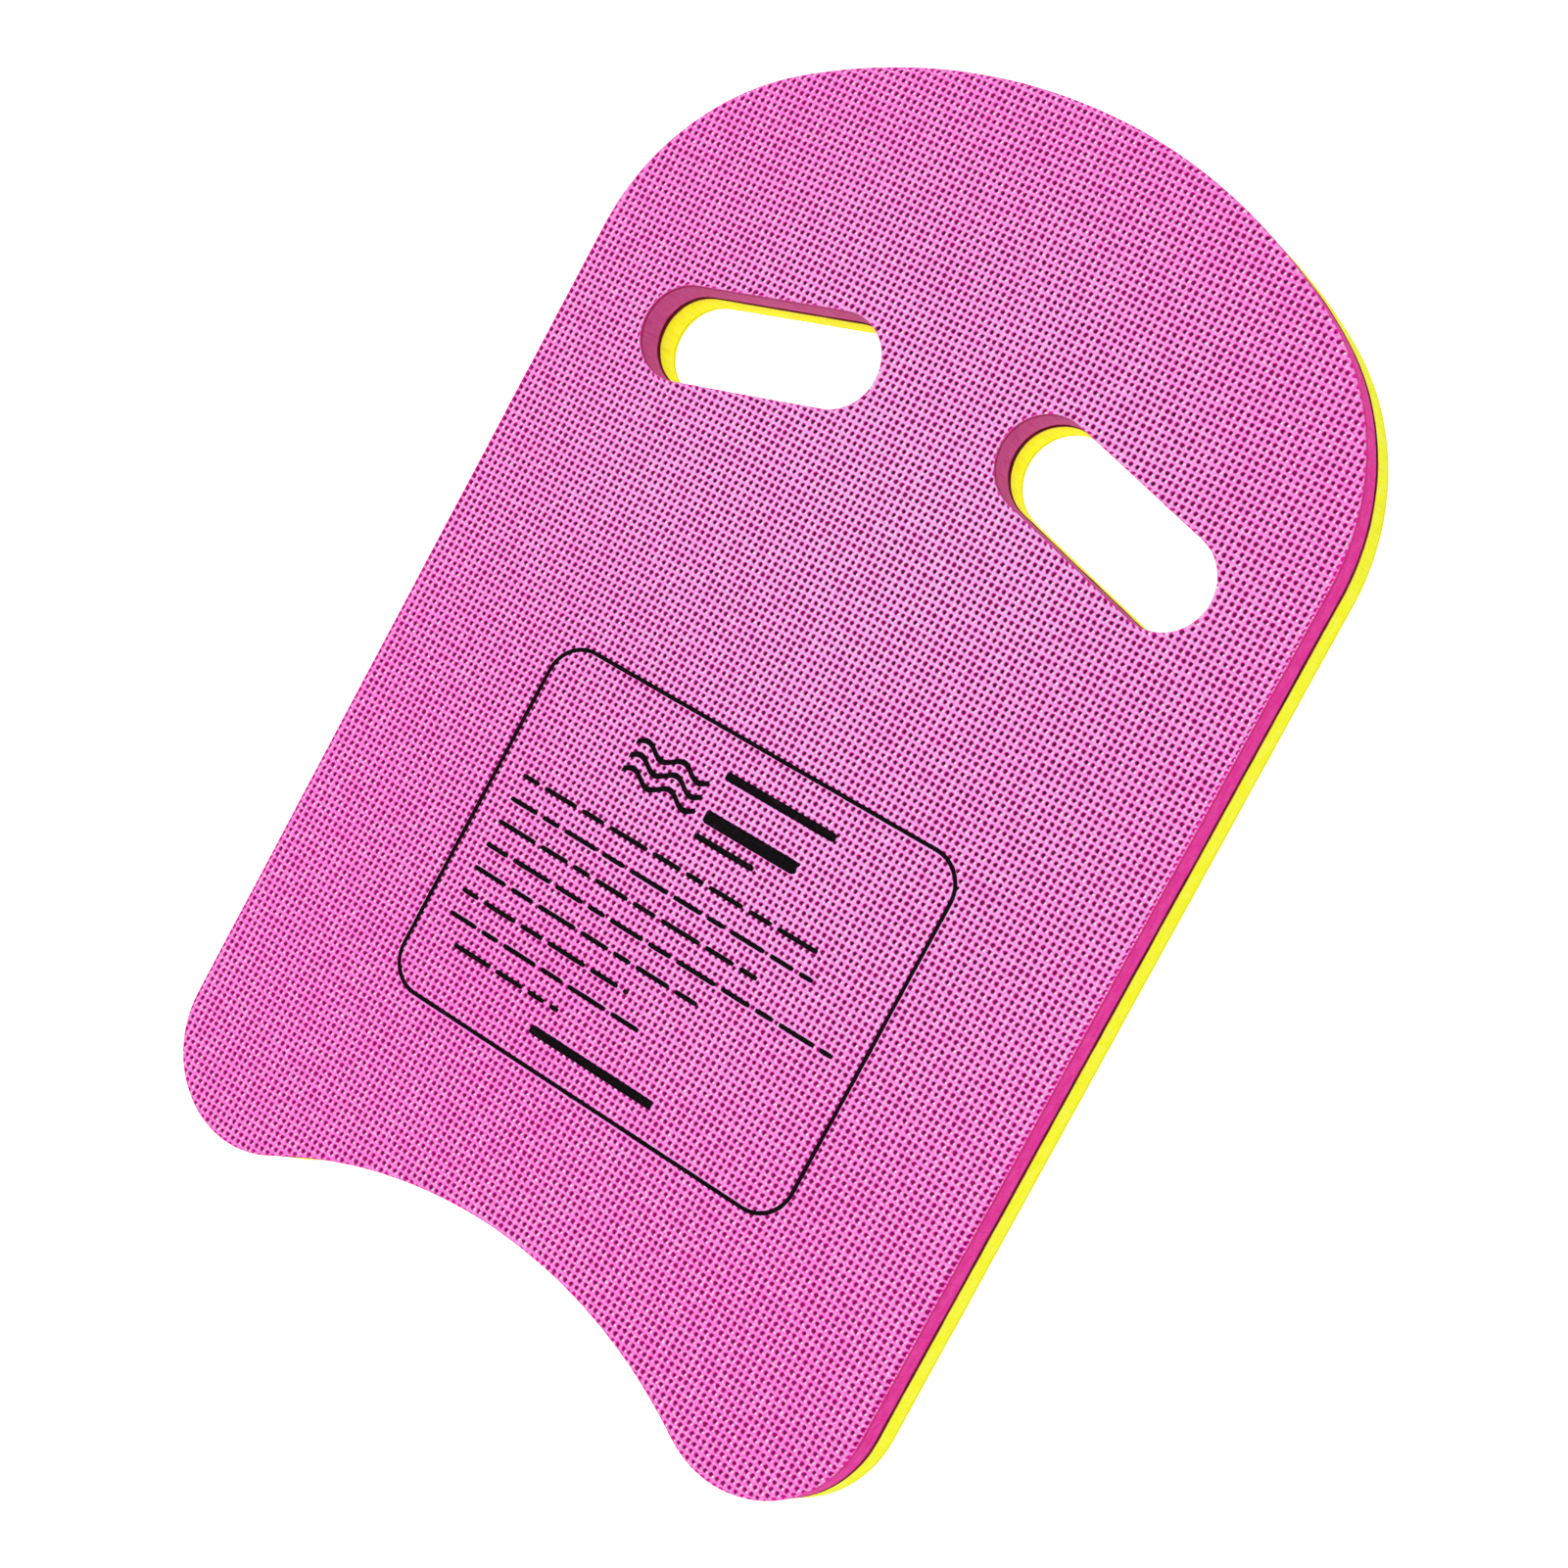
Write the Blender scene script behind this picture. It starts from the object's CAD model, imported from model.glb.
"""Swimming kickboard of two bonded foam sheets, with an embossed skin and a printed panel.

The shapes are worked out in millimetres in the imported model's frame and turned to metres as each
mesh is made. X runs across the board, +Y points to the nose, +Z out of the printed face.
"""

import math

import bmesh
import bpy
from mathutils import Matrix, Vector, noise
from mathutils.geometry import delaunay_2d_cdt

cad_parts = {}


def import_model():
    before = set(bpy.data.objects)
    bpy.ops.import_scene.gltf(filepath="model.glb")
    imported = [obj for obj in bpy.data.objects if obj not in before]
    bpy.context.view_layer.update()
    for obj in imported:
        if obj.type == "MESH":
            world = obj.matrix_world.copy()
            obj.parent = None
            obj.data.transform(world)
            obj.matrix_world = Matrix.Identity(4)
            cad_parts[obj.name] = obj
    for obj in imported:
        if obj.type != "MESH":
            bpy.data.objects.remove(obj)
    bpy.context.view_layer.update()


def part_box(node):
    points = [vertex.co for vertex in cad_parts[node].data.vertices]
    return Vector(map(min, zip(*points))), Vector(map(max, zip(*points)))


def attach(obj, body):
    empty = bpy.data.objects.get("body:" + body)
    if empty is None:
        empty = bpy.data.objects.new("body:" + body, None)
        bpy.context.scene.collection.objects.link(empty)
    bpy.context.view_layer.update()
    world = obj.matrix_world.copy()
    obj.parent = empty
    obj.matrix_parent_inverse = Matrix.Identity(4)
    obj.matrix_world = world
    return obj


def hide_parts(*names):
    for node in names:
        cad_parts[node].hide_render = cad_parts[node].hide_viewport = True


MM = 0.001  # metres in a millimetre


def box_mm(node):
    """A node's lowest and highest corners, in millimetres."""
    low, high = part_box(node)
    return Vector(low) / MM, Vector(high) / MM


# ---------------------------------------------------------------- outline

NOSE_R = 191
SHOULDER_R = 85
TIP_R = 36.5
HOLLOW_R = 175.8
SLOT_LENGTH = 87.5
SLOT_WIDTH = 32.5
SLOT_CENTRE = Vector((67.5, 101.5))
SLOT_TURN = Matrix.Rotation(math.radians(-15), 2)  # the inner end nearer to the nose
EDGE_STEP = 2.9  # between points round the board
SLOT_STEP = 2.1  # between points round a slot


class Outline:
    """The board's edge as arcs and straight sides, and the same curves set inwards."""

    def __init__(self, low, high):
        self.half = high.x
        self.nose = Vector((0, high.y - NOSE_R))
        shoulder_x = self.half - SHOULDER_R
        rise = math.sqrt((NOSE_R - SHOULDER_R) ** 2 - shoulder_x**2)
        self.shoulder = Vector((shoulder_x, self.nose.y + rise))
        self.shoulder_angle = math.atan2(rise, shoulder_x)
        self.tip = Vector((self.half - TIP_R, low.y + TIP_R))
        drop = math.sqrt((HOLLOW_R + TIP_R) ** 2 - self.tip.x**2)
        self.hollow = Vector((0, self.tip.y - drop))
        self.hollow_angle = math.atan2(drop, self.tip.x)

    def loop(self, inset, step):
        """Points of the edge set inwards, counter-clockwise from the middle of the hollow.

        The count of points doesn't depend on the inset, so loops can be joined point by point.
        """
        tip_start = self.hollow_angle - math.pi
        points = arc(self.hollow, HOLLOW_R, -inset, math.pi / 2, self.hollow_angle, step)
        points += arc(self.tip, TIP_R, inset, tip_start, 0, step)
        length = self.shoulder.y - self.tip.y
        count = round(length / step)
        x = self.half - inset
        points += [Vector((x, self.tip.y + length * i / count)) for i in range(count)]
        points += arc(self.shoulder, SHOULDER_R, inset, 0, self.shoulder_angle, step)
        points += arc(self.nose, NOSE_R, inset, self.shoulder_angle, math.pi / 2, step)
        apex = Vector((0, self.nose.y + NOSE_R - inset))
        mirrored = [Vector((-p.x, p.y)) for p in reversed(points[1:])]
        return points + [apex] + mirrored

    def holds(self, x, y, inset):
        """Is the point at least inset inside the edge?"""
        p = Vector((abs(x), y))
        if p.x > self.half - inset:
            return False
        if y > self.shoulder.y:
            d = p - self.shoulder
            if d.x > 0 and math.atan2(d.y, d.x) < self.shoulder_angle:
                return d.length < SHOULDER_R - inset
        if y > self.nose.y:
            return (p - self.nose).length < NOSE_R - inset
        if y < self.tip.y:
            d = p - self.hollow
            if d.y > 0 and math.atan2(d.y, d.x) > self.hollow_angle:
                return d.length > HOLLOW_R + inset
            return (p - self.tip).length < TIP_R - inset
        return True


def arc(centre, radius, inset, first, last, step):
    """Points of an arc, without its last one, on a radius made smaller by inset."""
    count = round(abs(last - first) * radius / step)
    angles = [first + (last - first) * i / count for i in range(count)]
    return [centre + (radius - inset) * Vector((math.cos(a), math.sin(a))) for a in angles]


def slot_loop(side, inset, step):
    """Points round a hand slot, which grows as the foam's edge is set inwards. Clockwise."""
    run = (SLOT_LENGTH - SLOT_WIDTH) / 2
    radius = SLOT_WIDTH / 2 + inset
    turns = round(math.pi * SLOT_WIDTH / 2 / step)
    straights = round(2 * run / step)
    points = []
    for end in (1, -1):
        for i in range(turns):
            a = end * math.pi / 2 - math.pi * i / turns
            points.append(Vector((end * run, 0)) + radius * Vector((math.cos(a), math.sin(a))))
        for i in range(straights):
            points.append(Vector((end * (run - 2 * run * i / straights), -end * radius)))
    points = [SLOT_CENTRE + SLOT_TURN @ p for p in points]
    if side < 0:
        points = [Vector((-p.x, p.y)) for p in reversed(points)]
    return points


def slot_gap(x, y):
    """Distance from a point to the nearer slot's middle line, less the slot's radius."""
    d = SLOT_TURN.transposed() @ (Vector((abs(x), y)) - SLOT_CENTRE)
    run = (SLOT_LENGTH - SLOT_WIDTH) / 2
    beyond = max(0, abs(d.x) - run)
    return math.hypot(beyond, d.y) - SLOT_WIDTH / 2


def foam_at(outline, x, y, inset):
    """Is there foam here, at least inset from every edge?"""
    return slot_gap(x, y) > inset and outline.holds(x, y, inset)


def rings_at(outline, inset):
    """The edges of the whole board set into the foam: outside, right slot and left slot."""
    return [
        outline.loop(inset, EDGE_STEP),
        slot_loop(1, inset, SLOT_STEP),
        slot_loop(-1, inset, SLOT_STEP),
    ]


def edge_rings(outline, inset):
    """The same edges, with each point in a pair with the direction out of the foam there."""
    rings = zip(rings_at(outline, inset), rings_at(outline, inset - 1))
    return [[(p, (q - p).normalized()) for p, q in zip(ring, outer)] for ring, outer in rings]


# ------------------------------------------------------------- foam sheets

PITCH = 2.4  # between pits
# Waves in which the grid of pits wanders: height, length / 2 pi and start
DRIFT_X = [(0.5, 61, 0.7), (0.12, 17, 0)]
DRIFT_Y = [(0.4, 47, 2.1), (0.12, 13, 0)]
PIT_HALF = 0.7  # half the side of a pit's rim
PIT_DEPTH = 0.55  # from the face to the bottom of a pit
PIT_LIP = 0.07  # how far a pit's rim stands up on its right
PIT_SMALLEST = 0.86  # a pit's size, as a share of the usual one
PIT_SPREAD = 0.28  # from the smallest to the largest
PIT_WANDER = 0.16  # range over which a pit strays from its place
CORNER_DROP = 0.06  # the most that a corner of a pit is pushed in
RIM_INSET = 0.4  # where the rounded edge of a cut meets the embossed face
RIM_CLEAR = 0.4  # between the embossing's points and that line
WALL = [  # inset and depth of the rings down a cut wall, under the rim of the embossed face
    (0.16, 0.05),
    (0.04, 0.18),
    (0.0, 0.45),
    (0.0, 1.3),
    (0.0, 2.4),
]
WALL_SHARES = (0.38, 0.62)  # depths of two more rings, as shares of the sheet's thickness
FOOT = [  # inset and height over the bond of the rings at the foot of a wall
    (0.0, 0.9),
    (0.1, 0.4),
    (0.34, 0.1),
    (0.5, 0.0),
]
WALL_NOISE = 0.1  # how far a wall strays in and out
EVEN_TOP = 0.15  # depth down to which it doesn't
EVEN_FOOT = 0.05  # height over the bond up to which it doesn't
LONG_WAVE = 31  # size of the wall's long waves
FINE_WAVE = 5.3  # size of its finer unevenness
SKIN_MARK = 1.2  # mark of the face inside its rim
PIT_MARK = 1.12  # mark from which the pits have all of their dark
RIM_MARK = 1.0  # mark of the rim, from which it falls down the wall
SKIN_FADE = 2.4  # depth at which the skin's marks on a wall have faded out
GLUE_FADE = 2.2  # height over the bond at which the glue's marks have faded out


def hashed(i, j, k):
    """A fixed pseudo-random number from 0 to 1 for three whole numbers."""
    return (math.sin(i * 12.9898 + j * 78.233 + k * 37.719) * 43758.5453) % 1


def swayed(value, along, waves):
    """A value moved by waves that run along the other axis."""
    for height, length, start in waves:
        value += height * math.sin(along / length + start)
    return value


def drift(u, v):
    """Where the lattice's point (u, v) lies: the embossing roller's grid wanders a little."""
    x, y = u * PITCH, v * PITCH
    return Vector((swayed(x, y, DRIFT_X), swayed(y, x, DRIFT_Y)))


class Skin:
    """The embossed face in plan: points with lattice places and depths, and triangles."""

    def __init__(self, outline):
        loops = rings_at(outline, RIM_INSET)
        self.counts = [len(loop) for loop in loops]
        self.points = [p for loop in loops for p in loop]
        self.lattice = [(p.x / PITCH, p.y / PITCH) for p in self.points]
        self.depth = [0.0] * len(self.points)
        self.rim = len(self.points)
        across = round(outline.half / PITCH) + 1
        along = round((outline.nose.y + NOSE_R) / PITCH) + 1
        for i in range(-across, across):
            for j in range(-along, along):
                self.add_pit(outline, i, j)
        self.triangles = triangles_between(outline, self.points, self.counts, RIM_INSET)

    def add_pit(self, outline, i, j):
        """Adds the middle and corners of the pit in a cell of the lattice, where foam is."""
        clear = RIM_INSET + RIM_CLEAR
        u, v = i + 0.5, j + 0.5
        middle = drift(u, v)
        if not foam_at(outline, middle.x, middle.y, clear - PIT_HALF):
            return
        size = PIT_SMALLEST + PIT_SPREAD * hashed(i, j, 1)
        wander = Vector((hashed(i, j, 2) - 0.5, hashed(i, j, 3) - 0.5)) * PIT_WANDER
        if foam_at(outline, middle.x, middle.y, clear):
            self.add(u, v, middle + wander, PIT_DEPTH * size)
        reach = size * (PIT_HALF / PITCH)
        for k, (a, b) in enumerate(((-1, -1), (1, -1), (1, 1), (-1, 1))):
            place = drift(u + a * reach, v + b * reach) + wander
            depth = CORNER_DROP * hashed(i, j, 4 + k) - (PIT_LIP if a > 0 else 0)
            if foam_at(outline, place.x, place.y, clear):
                self.add(u + a * reach, v + b * reach, place, depth)

    def add(self, u, v, place, depth):
        """Adds a point by its place in the lattice, its place in plan and its depth."""
        self.points.append(place)
        self.lattice.append((u, v))
        self.depth.append(depth)


def triangles_between(outline, points, counts, inset):
    """Triangles over all points, inside loops that are the first points, counts long."""
    edges = []
    start = 0
    for n in counts:
        edges += [(start + i, start + (i + 1) % n) for i in range(n)]
        start += n
    places, _, triangles, *_ = delaunay_2d_cdt(points, edges, [], 0, 1e-6, True)
    if len(places) != len(points):
        raise ValueError("points run into each other")
    kept = []
    for triangle in triangles:
        middle = sum((points[i] for i in triangle), Vector((0, 0))) / 3
        if foam_at(outline, middle.x, middle.y, inset):
            kept.append(triangle)
    return kept


def wall_rings(thickness):
    """Inset, depth and mark of each ring down a wall, from under the rim to -1 at the bond."""
    rings = [(inset, depth, max(0, RIM_MARK - depth / SKIN_FADE)) for inset, depth in WALL]
    rings += [(0, thickness * share, 0) for share in WALL_SHARES]
    rings.append((0, thickness - GLUE_FADE, 0))
    rings += [(inset, thickness - height, height / GLUE_FADE - 1) for inset, height in FOOT]
    return rings


def uneven(x, y, z, seed):
    """How far a cut wall stands in or out here: long waves and a finer unevenness."""
    wave = noise.noise(Vector((x, y, z * 3 + seed)) / LONG_WAVE)
    fine = noise.noise(Vector((x, y, z * 2 - seed)) / FINE_WAVE)
    return WALL_NOISE * (0.7 * wave + 0.6 * fine)


class Sheet:
    """One foam sheet: embossed face, rounded cuts, uneven walls and a flat bonded back.

    The die leaves the outer wall wider by the flare at the embossed face than at the bond.
    """

    def __init__(self, outline, skin, face_z, back_z, seed, flare):
        self.face_z = face_z
        self.thickness = abs(face_z - back_z)
        self.inwards = math.copysign(1, back_z - face_z)
        self.seed = seed
        self.flare = flare
        self.verts = [
            Vector((p.x, p.y, face_z + self.inwards * d)) for p, d in zip(skin.points, skin.depth)
        ]
        marks = [RIM_MARK] * skin.rim + [SKIN_MARK] * (len(skin.points) - skin.rim)
        self.lattice = [(u, v, mark) for (u, v), mark in zip(skin.lattice, marks)]
        self.punched = [0.0] * len(self.verts)
        self.faces = [list(t) for t in skin.triangles]
        above = list(range(skin.rim))
        for inset, depth, mark in wall_rings(self.thickness):
            below = self.add_ring(outline, inset, depth, mark)
            self.faces += quads_between(above, below, skin.counts)
            above = below
        self.faces += back_faces(outline, self.verts, above, skin.counts, inset)

    def add_ring(self, outline, inset, depth, mark):
        """Adds the wall's points at a depth, round the board and the slots, and lists them."""
        z = self.face_z + self.inwards * depth
        first = len(self.verts)
        for k, ring in enumerate(edge_rings(outline, inset)):
            self.punched += [1.0 if k > 0 else 0.0] * len(ring)
            for p, way in ring:
                p = p + way * self.stray(p, z, depth, outside=k == 0)
                self.verts.append(Vector((p.x, p.y, z)))
                self.lattice.append((p.x / PITCH, p.y / PITCH, mark))
        return list(range(first, len(self.verts)))

    def stray(self, p, z, depth, outside):
        """How far the wall lies out of the plain outline here."""
        amount = 0
        if EVEN_TOP < depth < self.thickness - EVEN_FOOT:
            amount = uneven(p.x, p.y, z, self.seed)
        if outside:
            amount += self.flare * (1 - depth / self.thickness)
        return amount

    def build(self, name):
        """The sheet as an object, with its lattice and punched walls as attributes."""
        faces = self.faces
        if self.inwards > 0:
            faces = [f[::-1] for f in faces]
        made = finish_mesh(name, self.verts, faces)
        place = made.data.attributes.new("lattice", "FLOAT_VECTOR", "POINT")
        place.data.foreach_set("vector", [c for triple in self.lattice for c in triple])
        slot = made.data.attributes.new("punched", "FLOAT", "POINT")
        slot.data.foreach_set("value", self.punched)
        return made


def quads_between(above, below, counts):
    """Quads between two stacks of loops, wound for a wall under an upward face."""
    faces = []
    start = 0
    for n in counts:
        for i in range(n):
            a, b = start + i, start + (i + 1) % n
            faces.append([above[b], above[a], below[a], below[b]])
        start += n
    return faces


def flat_faces(outline, verts, ring, counts, inset):
    """Upward triangles over the board between a ring of loops at an inset."""
    points = [verts[i].to_2d() for i in ring]
    return [[ring[i] for i in t] for t in triangles_between(outline, points, counts, inset)]


def back_faces(outline, verts, ring, counts, inset):
    """Triangles that close the back, facing away from the embossed face."""
    return [t[::-1] for t in flat_faces(outline, verts, ring, counts, inset)]


def finish_mesh(name, verts, faces):
    """A smooth-shaded object in the scene, in metres."""
    mesh = bpy.data.meshes.new(name)
    mesh.from_pydata([v * MM for v in verts], [], faces)
    mesh.shade_smooth()
    mesh.update()
    made = bpy.data.objects.new(name, mesh)
    bpy.context.scene.collection.objects.link(made)
    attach(made, "root")
    return made


# ---------------------------------------------------------------- bond line

BOND = [  # inset and height over the film's middle: its squeezed-out edge fills the groove
    (0.5, 0.25),
    (0.3, 0.45),
    (0.1, 0.8),
    (-0.06, 0.66),
    (-0.14, 0.0),
    (-0.14, -0.6),
    (-0.06, -1.1),
    (0.1, -1.25),
    (0.3, -0.6),
    (0.5, -0.25),
]
BEAD_INSET = 0.2  # where the even film ends and the uneven bead starts
BEAD_STRAY = 0.12  # how far the bead strays
BEAD_OUT_WAVE = 7  # size of its waves in and out
BEAD_RISE_WAVE = 11  # size of its waves up and down


def bead_stray(p, seed, wave):
    """How far the bead strays here."""
    return BEAD_STRAY * noise.noise(Vector((p.x, p.y, seed)) / wave)


def bond_ring(outline, inset, z):
    """Points of the adhesive at an inset, round the board and the slots."""
    bead = inset < BEAD_INSET
    points = []
    for ring in edge_rings(outline, inset):
        for p, way in ring:
            out = bead_stray(p, 40, BEAD_OUT_WAVE) if bead else 0
            rise = bead_stray(p, 80, BEAD_RISE_WAVE) if bead else 0
            place = p + way * out
            points.append(Vector((place.x, place.y, z + rise)))
    return points


def build_bond(outline, counts, middle_z):
    """The adhesive between the sheets: a film whose squeezed-out edge is a small uneven bead."""
    verts = []
    faces = []
    above = []
    for inset, height in BOND:
        points = bond_ring(outline, inset, middle_z + height)
        below = list(range(len(verts), len(verts) + len(points)))
        verts += points
        if above:
            faces += quads_between(above, below, counts)
        else:
            faces += flat_faces(outline, verts, below, counts, inset)
        above = below
    faces += back_faces(outline, verts, above, counts, inset)
    return finish_mesh("bond_line", verts, faces)


# --------------------------------------------------------------------- ink

INK_OVER = 0.05  # how far the ink stands over the skin
INK_UNDER = 0.05  # how far it sinks in
INK_STEP = 1.1  # between points along a bar or the border
INK_WAVER = 0.07  # how far the edges of the ink stray
INK_FINE = 1.9  # size of their finer waves
INK_LONG = 6  # size of their longer waves
INK_WELD = 0.004  # points closer than this become one
BAR_END = 0.72  # height of a bar's ends, as a share of the bar's
EMBLEM_STEP = 0.8  # between points along a wave
WAVES = 3
WAVE_LENGTH = 30
WAVE_HEIGHT = 1.7
WAVE_STROKE = 2.0
WAVE_PITCH = 5
EMBLEM_PLACE = Vector((-25.5, 40.5))  # this and the rest from the border's middle
# Middle x, middle y, length and height of each bar
HEADING_BARS = [(15.5, 50.5, 44, 3), (12, 36, 37, 4.5), (5.5, 29, 24, 2)]
FOOTER_BAR = (0, -52, 51, 3)
LINES_PLACE = Vector((-71.5, 17))
# Each line of small print: where it starts and ends, from the left of the lines
LINES = [(0, 123), (0, 125), (0, 110), (0, 143), (0, 95), (0, 71), (0, 82), (7, 52)]
LINE_PITCH = 8.5
LINE_HEIGHT = 1.6
SHORT_WORD = 7
WORD_STEP = 2.2
WORD_GAP = 2.4
BORDER_R = 13
BORDER_LINE = 1.4
OTHER_EDGE = 50  # how far off the outer edge of the border reads its waver


class Press:
    """Lays outlines of ink on the embossed skin, following every pit."""

    CELL = 3.0  # side of the squares in which the skin's triangles are looked up

    def __init__(self, skin, face_z):
        points = [Vector((p.x, p.y, face_z - d)) for p, d in zip(skin.points, skin.depth)]
        self.cells = {}
        for t in skin.triangles:
            corners = [points[i] for i in t]
            for cell in self.reached(corners):
                self.cells.setdefault(cell, []).append(corners)

    def reached(self, corners):
        """The squares that a shape may touch."""
        xs = [c.x for c in corners]
        ys = [c.y for c in corners]
        for i in range(math.floor(min(xs) / self.CELL), math.floor(max(xs) / self.CELL) + 1):
            for j in range(math.floor(min(ys) / self.CELL), math.floor(max(ys) / self.CELL) + 1):
                yield i, j

    def under(self, quad):
        """The skin's triangles that a quad may touch, each once."""
        found = {}
        for cell in self.reached(quad):
            for corners in self.cells.get(cell, ()):
                found[id(corners)] = corners
        return found.values()

    def print(self, name, quads):
        """A closed film of ink over counter-clockwise quads."""
        work = bmesh.new()
        for quad in quads:
            for corners in self.under(quad):
                piece = clipped(corners, quad)
                if len(piece) > 2:
                    work.faces.new([work.verts.new(p) for p in piece])
        bmesh.ops.remove_doubles(work, verts=work.verts, dist=INK_WELD)
        bmesh.ops.dissolve_degenerate(work, edges=work.edges, dist=INK_WELD)
        return self.thicken(name, work)

    def thicken(self, name, work):
        """The film between the skin's pieces raised over it and the same pieces sunk into it."""
        work.verts.index_update()
        top = [v.co + Vector((0, 0, INK_OVER)) for v in work.verts]
        foot = [v.co - Vector((0, 0, INK_UNDER)) for v in work.verts]
        count = len(top)
        faces = []
        for face in work.faces:
            ring = [v.index for v in face.verts]
            faces.append(ring)
            faces.append([i + count for i in reversed(ring)])
            for loop in face.loops:
                if loop.edge.is_boundary:
                    a, b = loop.vert.index, loop.link_loop_next.vert.index
                    faces.append([b, a, a + count, b + count])
        work.free()
        return finish_mesh(name, top + foot, faces)


def clipped(corners, quad):
    """The part of a triangle in space that lies over a flat convex quad."""
    piece = list(corners)
    for k, a in enumerate(quad):
        b = quad[(k + 1) % len(quad)]
        across = Vector((a.y - b.y, b.x - a.x))
        side = [across.x * (p.x - a.x) + across.y * (p.y - a.y) for p in piece]
        kept = []
        for i, p in enumerate(piece):
            j = (i + 1) % len(piece)
            if side[i] >= 0:
                kept.append(p)
            if (side[i] > 0 > side[j]) or (side[i] < 0 < side[j]):
                kept.append(p.lerp(piece[j], side[i] / (side[i] - side[j])))
        piece = kept
        if len(piece) < 3:
            return []
    return piece


def waver(x, y):
    """How far the edge of the ink strays here."""
    fine = noise.noise(Vector((x, y, 3)) / INK_FINE)
    long = noise.noise(Vector((x, y, 9)) / INK_LONG)
    return INK_WAVER * (fine + 0.5 * long)


def ribbon(left, right, closed=False):
    """Quads between two lines of points, left of the way they run and right of it."""
    count = len(left)
    quads = []
    for i in range(count if closed else count - 1):
        j = (i + 1) % count
        quads.append([right[i], right[j], left[j], left[i]])
    return quads


def bar(x, y, length, height):
    """A bar of ink round its middle (x, y), with edges that waver and slightly rounded ends."""
    steps = max(2, round(length / INK_STEP))
    left = []
    right = []
    for i in range(steps + 1):
        along = x + length * (i / steps - 0.5)
        half = height / 2 * (BAR_END if i in (0, steps) else 1)
        left.append(Vector((along, y + half + waver(along, y + half))))
        right.append(Vector((along, y - half + waver(along, y - half))))
    return ribbon(left, right)


def border_quads(middle, size):
    """The rounded border as a closed ribbon."""
    half = size / 2 - Vector((BORDER_LINE, BORDER_LINE)) / 2
    radius = BORDER_R - BORDER_LINE / 2
    line = []
    for k, (a, b) in enumerate(((1, 1), (-1, 1), (-1, -1), (1, -1))):
        centre = Vector((a * (half.x - radius), b * (half.y - radius)))
        turns = round(math.pi / 2 * radius / INK_STEP)
        for i in range(turns + 1):
            t = math.pi / 2 * (k + i / turns)
            out = Vector((math.cos(t), math.sin(t)))
            line.append((centre + radius * out, out))
        length = 2 * ((half.x if k % 2 == 0 else half.y) - radius)
        start, out = line[-1]
        steps = round(length / INK_STEP)
        way = Vector((-out.y, out.x))
        line += [(start + way * length * i / steps, out) for i in range(1, steps)]
    left = []
    right = []
    for p, out in line:
        p = middle + p
        left.append(p - out * (BORDER_LINE / 2 + waver(p.x, p.y)))
        right.append(p + out * (BORDER_LINE / 2 + waver(p.x + OTHER_EDGE, p.y)))
    return ribbon(left, right, closed=True)


def emblem_quads(middle):
    """Stacked waves."""
    quads = []
    for k in range(WAVES):
        centre = middle + EMBLEM_PLACE + Vector((0, WAVE_PITCH * (k - (WAVES - 1) / 2)))
        steps = round(WAVE_LENGTH / EMBLEM_STEP)
        left = []
        right = []
        for i in range(steps + 1):
            x = centre.x + WAVE_LENGTH * (i / steps - 0.5)
            y = centre.y + WAVE_HEIGHT * math.sin(4 * math.pi * i / steps)
            half = WAVE_STROKE / 2
            left.append(Vector((x, y + half + waver(x, y + half))))
            right.append(Vector((x, y - half + waver(x, y - half))))
        quads += ribbon(left, right)
    return quads


def line_quads(middle):
    """Rows of bars in the place of small print, in lengths that a fixed rule varies."""
    quads = []
    for row, (indent, end) in enumerate(LINES):
        start = indent
        word = 0
        while end - start > LINE_HEIGHT:
            length = min(SHORT_WORD + WORD_STEP * ((3 * word + 2 * row) % 5), end - start)
            place = middle + LINES_PLACE + Vector((start + length / 2, -row * LINE_PITCH))
            quads += bar(place.x, place.y, length, LINE_HEIGHT)
            start += length + WORD_GAP
            word += 1
    return quads


# --------------------------------------------------------------- materials


def linear(red, green, blue):
    """A shader colour from 0 to 255 screen values."""
    values = [c / 255 for c in (red, green, blue)]
    return [c / 12.92 if c <= 0.04045 else ((c + 0.055) / 1.055) ** 2.4 for c in values] + [1.0]


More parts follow.
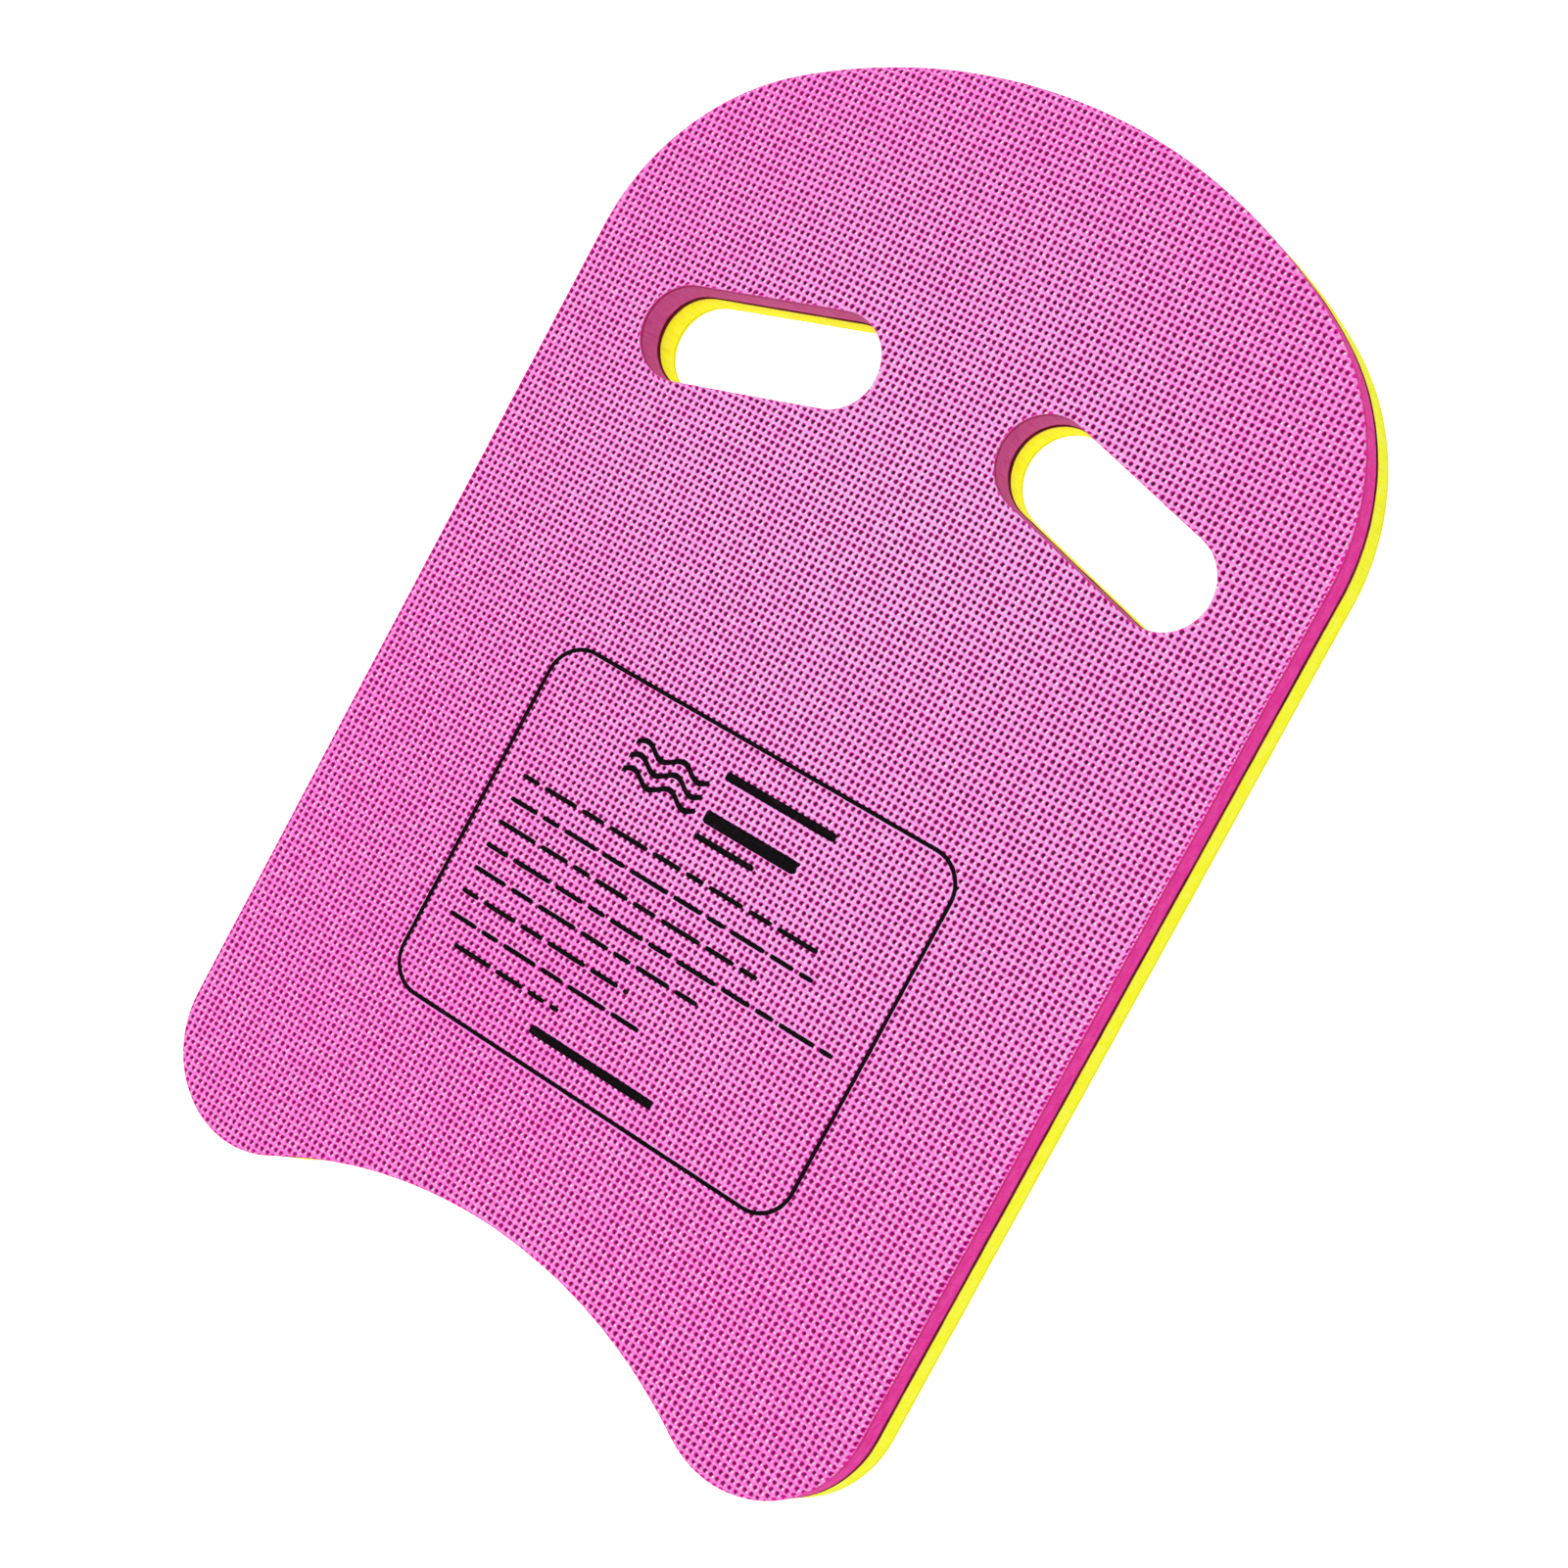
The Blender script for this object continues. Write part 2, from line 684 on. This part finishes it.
class Nodes:
    """Builds one material's node tree in short calls."""

    def __init__(self, name, roughness):
        self.material = bpy.data.materials.new(name)
        self.material.use_nodes = True
        self.tree = self.material.node_tree
        self.shader = self.tree.nodes["Principled BSDF"]
        self.shader.inputs["Roughness"].default_value = roughness
        place = self.tree.nodes.new("ShaderNodeTexCoord")
        self.place = place.outputs["Object"]

    def put(self, socket, value):
        """Sets an input from a number, a colour or another node's output."""
        if isinstance(value, bpy.types.NodeSocket):
            self.tree.links.new(value, socket)
        else:
            socket.default_value = value

    def math(self, operation, a, b=0.0, clamp=False):
        """Sum, product and so on of two numbers."""
        node = self.tree.nodes.new("ShaderNodeMath")
        node.operation = operation
        node.use_clamp = clamp
        self.put(node.inputs[0], a)
        self.put(node.inputs[1], b)
        return node.outputs[0]

    def vector(self, operation, a, b=None, scale=None):
        """The same for vectors, or a vector's length."""
        node = self.tree.nodes.new("ShaderNodeVectorMath")
        node.operation = operation
        self.put(node.inputs[0], a)
        if b is not None:
            self.put(node.inputs[1], b)
        if scale is not None:
            self.put(node.inputs["Scale"], scale)
        return node.outputs["Value" if operation == "LENGTH" else "Vector"]

    def noise(self, per_metre, detail=2.0, colour=False, upright=False):
        """Soft noise, which upright draws out along Z."""
        node = self.tree.nodes.new("ShaderNodeTexNoise")
        node.inputs["Scale"].default_value = per_metre
        node.inputs["Detail"].default_value = detail
        place = self.vector("MULTIPLY", self.place, (1, 1, 0.1)) if upright else self.place
        self.put(node.inputs["Vector"], place)
        return node.outputs["Color" if colour else "Fac"]

    def cells(self, per_metre):
        """Distance from the middle of the nearest of scattered cells."""
        node = self.tree.nodes.new("ShaderNodeTexVoronoi")
        node.inputs["Scale"].default_value = per_metre
        self.put(node.inputs["Vector"], self.place)
        return node.outputs["Distance"]

    def white(self, vector):
        """A random number from 0 to 1 for each vector."""
        node = self.tree.nodes.new("ShaderNodeTexWhiteNoise")
        self.put(node.inputs["Vector"], vector)
        return node.outputs["Value"]

    def attribute(self, name, output="Vector"):
        """A value kept with the mesh's points."""
        node = self.tree.nodes.new("ShaderNodeAttribute")
        node.attribute_name = name
        return node.outputs[output]

    def parts(self, vector):
        """X, Y and Z of a vector."""
        node = self.tree.nodes.new("ShaderNodeSeparateXYZ")
        self.put(node.inputs[0], vector)
        return node.outputs

    def ramp(self, value, low, high, first=0.0, last=1.0, smooth=True):
        """Takes low..high to first..last."""
        node = self.tree.nodes.new("ShaderNodeMapRange")
        node.interpolation_type = "SMOOTHSTEP" if smooth else "LINEAR"
        self.put(node.inputs["Value"], value)
        for socket, number in (
            ("From Min", low), ("From Max", high), ("To Min", first), ("To Max", last),
        ):
            node.inputs[socket].default_value = number
        return node.outputs[0]

    def mix(self, share, a, b):
        """A colour between a and b, with the given share of b."""
        node = self.tree.nodes.new("ShaderNodeMix")
        node.data_type = "RGBA"
        self.put(node.inputs[0], share)
        self.put(node.inputs[6], a)
        self.put(node.inputs[7], b)
        return node.outputs[2]

    def bump(self, height, distance, strength, normal=None):
        """A normal bent by a height from 0 to 1, where 1 stands the distance high in metres."""
        node = self.tree.nodes.new("ShaderNodeBump")
        node.inputs["Distance"].default_value = distance
        node.inputs["Strength"].default_value = strength
        self.put(node.inputs["Height"], height)
        if normal is not None:
            self.put(node.inputs["Normal"], normal)
        return node.outputs[0]

    def finish(self, colour, roughness, normal):
        """The material, with its shader joined up."""
        self.put(self.shader.inputs["Base Color"], colour)
        self.put(self.shader.inputs["Roughness"], roughness)
        self.put(self.shader.inputs["Normal"], normal)
        return self.material


PINK = {
    "ridge": (255, 128, 224),  # the skin between the pits
    "haze": (244, 180, 244),  # the same where it is rubbed pale
    "glint": (255, 240, 255),  # the rims that stand up
    "field": (240, 8, 164),  # the slopes into the pits
    "pit": (22, 0, 16),
    "wall": (212, 26, 142),  # the cut round the board
    "slot": (206, 82, 164),  # the cut in the hand slots
    "shade": (170, 3, 86),  # open cells and the line under the skin
    "worn": (246, 128, 200),  # rubbed edges
    "stain": (120, 6, 44),  # glue by the bond
}
YELLOW = {
    "ridge": (250, 248, 110),
    "haze": (246, 244, 130),
    "glint": (255, 253, 190),
    "field": (242, 238, 60),
    "pit": (150, 130, 4),
    "wall": (236, 238, 18),
    "slot": (255, 255, 30),
    "shade": (226, 216, 14),
    "worn": (254, 254, 170),
    "stain": (196, 44, 76),
}
RUBBED_MIDDLE = (0.005, 0.045, 0)  # of the patch where the skin is rubbed paler, in metres
RUBBED_RADIUS = 0.23
LIP_MIDDLE = (0.3, -0.1, 0)  # of a pit's bright lip, from the pit's middle in lattice steps


def skin_colour(n, lattice, tint):
    """The embossed skin's colour, and how far each place is from the middle of its pit."""
    # Lattice cells with a shaken edge, a random number of their own and places inside them
    shake = n.vector("SUBTRACT", n.noise(700, 1.0, colour=True), (0.5, 0.5, 0.5))
    shaken = n.vector("ADD", lattice, n.vector("SCALE", shake, scale=0.22))
    flat = n.vector("MULTIPLY", shaken, (1, 1, 0))
    own = n.white(n.vector("FLOOR", flat))
    local = n.vector("SUBTRACT", n.vector("FRACTION", flat), (0.5, 0.5, 0))
    far = n.math("MULTIPLY", n.vector("LENGTH", local), n.ramp(own, 0, 1, 2.2, 2.6, False))
    # Skin between the pits, paler in the rubbed patch and glinting here and there
    offset = n.vector("MULTIPLY", n.vector("SUBTRACT", n.place, RUBBED_MIDDLE), (1, 1, 0))
    away = n.vector("LENGTH", offset)
    cloud = n.ramp(n.noise(9, 3.0), 0.3, 0.7, -0.15, 0.15)
    pale = n.math("ADD", n.ramp(away, 0.0, RUBBED_RADIUS, 0.8, 0.0), cloud, clamp=True)
    high = n.mix(pale, tint["ridge"], tint["haze"])
    high = n.mix(n.ramp(n.noise(1100), 0.5, 0.68, 0.0, 0.4), high, tint["glint"])
    skin = n.mix(n.ramp(far, 0.7, 1.08), tint["field"], high)
    # Bright lips, worn in places
    from_lip = n.vector("LENGTH", n.vector("SUBTRACT", local, LIP_MIDDLE))
    worn_lip = n.ramp(n.noise(500), 0.4, 0.6, 0.3, 1.0)
    lip = n.math("MULTIPLY", n.ramp(from_lip, 0.08, 0.25, 1.0, 0.0), worn_lip)
    skin = n.mix(lip, skin, tint["glint"])
    # Dark bottoms, which differ a little, are weaker in the patch and end before the rim
    own_dark = n.ramp(own, 0, 1, 0.84, 1.0, False)
    dark = n.math("MULTIPLY", n.ramp(far, 0.42, 0.78, 1.0, 0.0), own_dark)
    dark = n.math("MULTIPLY", dark, n.ramp(away, 0.08, RUBBED_RADIUS, 1.0, 0.84))
    dark = n.math("MULTIPLY", dark, n.ramp(n.parts(lattice)[2], RIM_MARK, PIT_MARK))
    return n.mix(dark, skin, tint["pit"]), far


def wall_colour(n, mark, drag, tint):
    """The cut wall's colour: fine cells, upright marks of the die and a line under the skin."""
    cut = n.mix(n.attribute("punched", "Fac"), tint["wall"], tint["slot"])
    cut = n.mix(n.ramp(n.cells(1500), 0.0, 0.6, 0.2, 0.0), cut, tint["shade"])
    cut = n.mix(n.ramp(n.noise(230, 3.0), 0.35, 0.7, 0.0, 0.12), cut, tint["worn"])
    cut = n.mix(n.ramp(drag, 0.45, 0.75, 0.0, 0.25), cut, tint["shade"])
    under = n.math("MULTIPLY", n.ramp(mark, 0.1, 0.4), n.ramp(mark, 0.6, 0.85, 1.0, 0.0))
    return n.mix(under, cut, tint["shade"])


def foam(name, tints):
    """EVA foam: a skin with a lattice of pits, and cut walls of fine closed cells."""
    n = Nodes(name, roughness=0.6)
    n.shader.inputs["Specular IOR Level"].default_value = 0.12
    tint = {part: linear(*values) for part, values in tints.items()}
    lattice = n.attribute("lattice")
    mark = n.parts(lattice)[2]
    drag = n.noise(1100, upright=True)
    skin, far = skin_colour(n, lattice, tint)
    colour = n.mix(n.ramp(mark, 0.93, 1.0), wall_colour(n, mark, drag, tint), skin)
    # Slightly rubbed edge at the top of the wall, and patches of glue at its foot
    edge = n.math("MULTIPLY", n.ramp(mark, 0.66, 0.86), n.ramp(mark, 0.95, 1.0, 1.0, 0.0))
    rubbed = n.math("MULTIPLY", edge, n.ramp(n.noise(400), 0.35, 0.7, 0.0, 0.22))
    colour = n.mix(rubbed, colour, tint["worn"])
    stray = n.math("ADD", mark, n.ramp(n.noise(300), 0.3, 0.7, -0.12, 0.12))
    colour = n.mix(n.ramp(stray, -1.0, -0.1, 1.0, 0.0), colour, tint["stain"])
    # Fine grain, duller on the walls, with pores, the die's marks and soft slopes into the pits
    grain = n.noise(2600)
    rough = n.math("ADD", n.ramp(grain, 0.3, 0.7, -0.08, 0.08), n.ramp(mark, 0.7, 1, 0.82, 0.52))
    pores = n.bump(n.cells(1700), 0.0002, 0.45)
    cuts = n.bump(drag, 0.0002, 0.3, pores)
    fine = n.bump(grain, 0.00012, 0.5, cuts)
    normal = n.bump(n.ramp(far, 0.2, 0.9), 0.0003, 0.6, fine)
    return n.finish(colour, rough, normal)


def adhesive():
    """Dark glue with small blobs and a dull shine."""
    n = Nodes("adhesive_dark", roughness=0.7)
    n.shader.inputs["Specular IOR Level"].default_value = 0.05
    blobs = n.noise(500, 3.0)
    colour = n.mix(n.ramp(blobs, 0.35, 0.65), linear(56, 0, 18), linear(104, 6, 36))
    rough = n.ramp(blobs, 0.3, 0.7, 0.6, 0.8)
    return n.finish(colour, rough, n.bump(blobs, 0.0004, 0.5))


def ink():
    """Matt black screen ink, thin over the crests of the skin."""
    n = Nodes("ink_black", roughness=0.6)
    n.shader.inputs["Specular IOR Level"].default_value = 0.06
    speckle = n.noise(2200, 3.0)
    cover = n.noise(420, 2.0)
    colour = n.mix(n.ramp(speckle, 0.45, 0.75, 0.0, 0.5), linear(8, 5, 7), linear(34, 18, 30))
    colour = n.mix(n.ramp(cover, 0.55, 0.8, 0.0, 0.2), colour, linear(90, 36, 70))
    rough = n.ramp(speckle, 0.3, 0.7, 0.5, 0.75)
    return n.finish(colour, rough, n.bump(speckle, 0.0001, 0.4))


# ------------------------------------------------------------------- stage

FLOOR_SIZE = 60  # so wide that its edge is out of sight in low views
FLOOR_DROP = 0.0002  # under z = 0, clear of the lips on the lower face
FLOOR_GREY = 0.7
FLOOR_GLOW = 0.9
WORLD_GLOW = 0.51
LIGHTS = [  # name, place, diameter and watts
    ("key", (-0.35, 0.05, 2.0), 1.2, 18),
    ("side", (1.4, -0.5, 0.7), 1.0, 3),
]


def add_floor():
    """A wide pale floor that gives back enough light to stay plain white."""
    bpy.ops.mesh.primitive_plane_add(size=FLOOR_SIZE, location=(0, 0, -FLOOR_DROP))
    floor = bpy.context.object
    floor.name = "floor"
    n = Nodes("floor_white", roughness=0.9)
    n.shader.inputs["Base Color"].default_value = (FLOOR_GREY, FLOOR_GREY, FLOOR_GREY, 1)
    n.shader.inputs["Emission Color"].default_value = (1, 1, 1, 1)
    n.shader.inputs["Emission Strength"].default_value = FLOOR_GLOW
    floor.data.materials.append(n.material)


def add_light(name, place, size, watts):
    """A soft round light aimed at the middle of the scene."""
    lamp = bpy.data.lights.new(name, "AREA")
    lamp.shape = "DISK"
    lamp.size = size
    lamp.energy = watts
    made = bpy.data.objects.new(name, lamp)
    made.location = place
    made.rotation_euler = (-Vector(place)).to_track_quat("-Z", "Y").to_euler()
    bpy.context.scene.collection.objects.link(made)


def add_world():
    """Even white light from all round."""
    world = bpy.data.worlds.new("studio")
    world.use_nodes = True
    back = world.node_tree.nodes["Background"]
    back.inputs["Color"].default_value = (1, 1, 1, 1)
    back.inputs["Strength"].default_value = WORLD_GLOW
    bpy.context.scene.world = world


CAMERA_AIM = Vector((0.01474, -0.01719, 0.0275))  # on the printed face
CAMERA_AZIMUTH = 8.764  # degrees from +X towards +Y
CAMERA_ELEVATION = 64.848
CAMERA_ROLL = -69.568
CAMERA_AWAY = 1.003
CAMERA_LENS = 73.06  # millimetres


def add_camera():
    """The photograph's view: from over the board's right side, with the nose to the upper right."""
    lens = bpy.data.cameras.new("view")
    lens.sensor_width = 36
    lens.lens = CAMERA_LENS
    lens.clip_start = 0.02
    azimuth = math.radians(CAMERA_AZIMUTH)
    elevation = math.radians(CAMERA_ELEVATION)
    flat = math.cos(elevation)
    back = Vector((flat * math.cos(azimuth), flat * math.sin(azimuth), math.sin(elevation)))
    level = Vector((0, 0, 1)).cross(back).normalized()
    turn = Matrix((level, back.cross(level), back)).transposed()
    roll = Matrix.Rotation(math.radians(CAMERA_ROLL), 3, "Z")
    place = Matrix.Translation(CAMERA_AIM + CAMERA_AWAY * back)
    made = bpy.data.objects.new("view", lens)
    made.matrix_world = place @ (turn @ roll).to_4x4()
    bpy.context.scene.collection.objects.link(made)
    bpy.context.scene.camera = made


# -------------------------------------------------------------------- main


def dress(piece, material, node):
    """Gives a piece its material, and puts it in the place of a CAD node."""
    piece.data.materials.append(material)
    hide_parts(node)


def add_foam(outline, skin):
    """Both sheets, each with its embossed face outwards."""
    low, high = box_mm("upper_foam_sheet")
    upper = Sheet(outline, skin, high.z, low.z, seed=11, flare=0.15).build("pink_foam")
    dress(upper, foam("eva_pink", PINK), "upper_foam_sheet")
    low, high = box_mm("lower_foam_sheet")
    lower = Sheet(outline, skin, low.z, high.z, seed=47, flare=0.5).build("yellow_foam")
    dress(lower, foam("eva_yellow", YELLOW), "lower_foam_sheet")


def add_bond(outline, counts):
    """The glue line, in rings with the given counts of points."""
    low, high = box_mm("bond_film")
    bond = build_bond(outline, counts, (low.z + high.z) / 2)
    dress(bond, adhesive(), "bond_film")


def add_print(skin, face_z):
    """The five prints, all in one black ink."""
    low, high = box_mm("print_border")
    middle = ((low + high) / 2).to_2d()
    press = Press(skin, face_z)
    heading = []
    for x, y, length, height in HEADING_BARS:
        heading += bar(middle.x + x, middle.y + y, length, height)
    x, y, length, height = FOOTER_BAR
    films = {
        "print_border": border_quads(middle, (high - low).to_2d()),
        "print_emblem": emblem_quads(middle),
        "print_heading": heading,
        "print_small_lines": line_quads(middle),
        "print_footer": bar(middle.x + x, middle.y + y, length, height),
    }
    black = ink()
    for node, quads in films.items():
        dress(press.print(node.replace("print", "ink"), quads), black, node)


def main():
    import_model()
    add_camera()
    add_world()
    for light in LIGHTS:
        add_light(*light)
    add_floor()
    bpy.context.scene.view_settings.view_transform = "Standard"
    low, high = box_mm("upper_foam_sheet")
    outline = Outline(low, high)
    skin = Skin(outline)
    add_foam(outline, skin)
    add_bond(outline, skin.counts)
    add_print(skin, high.z)


main()
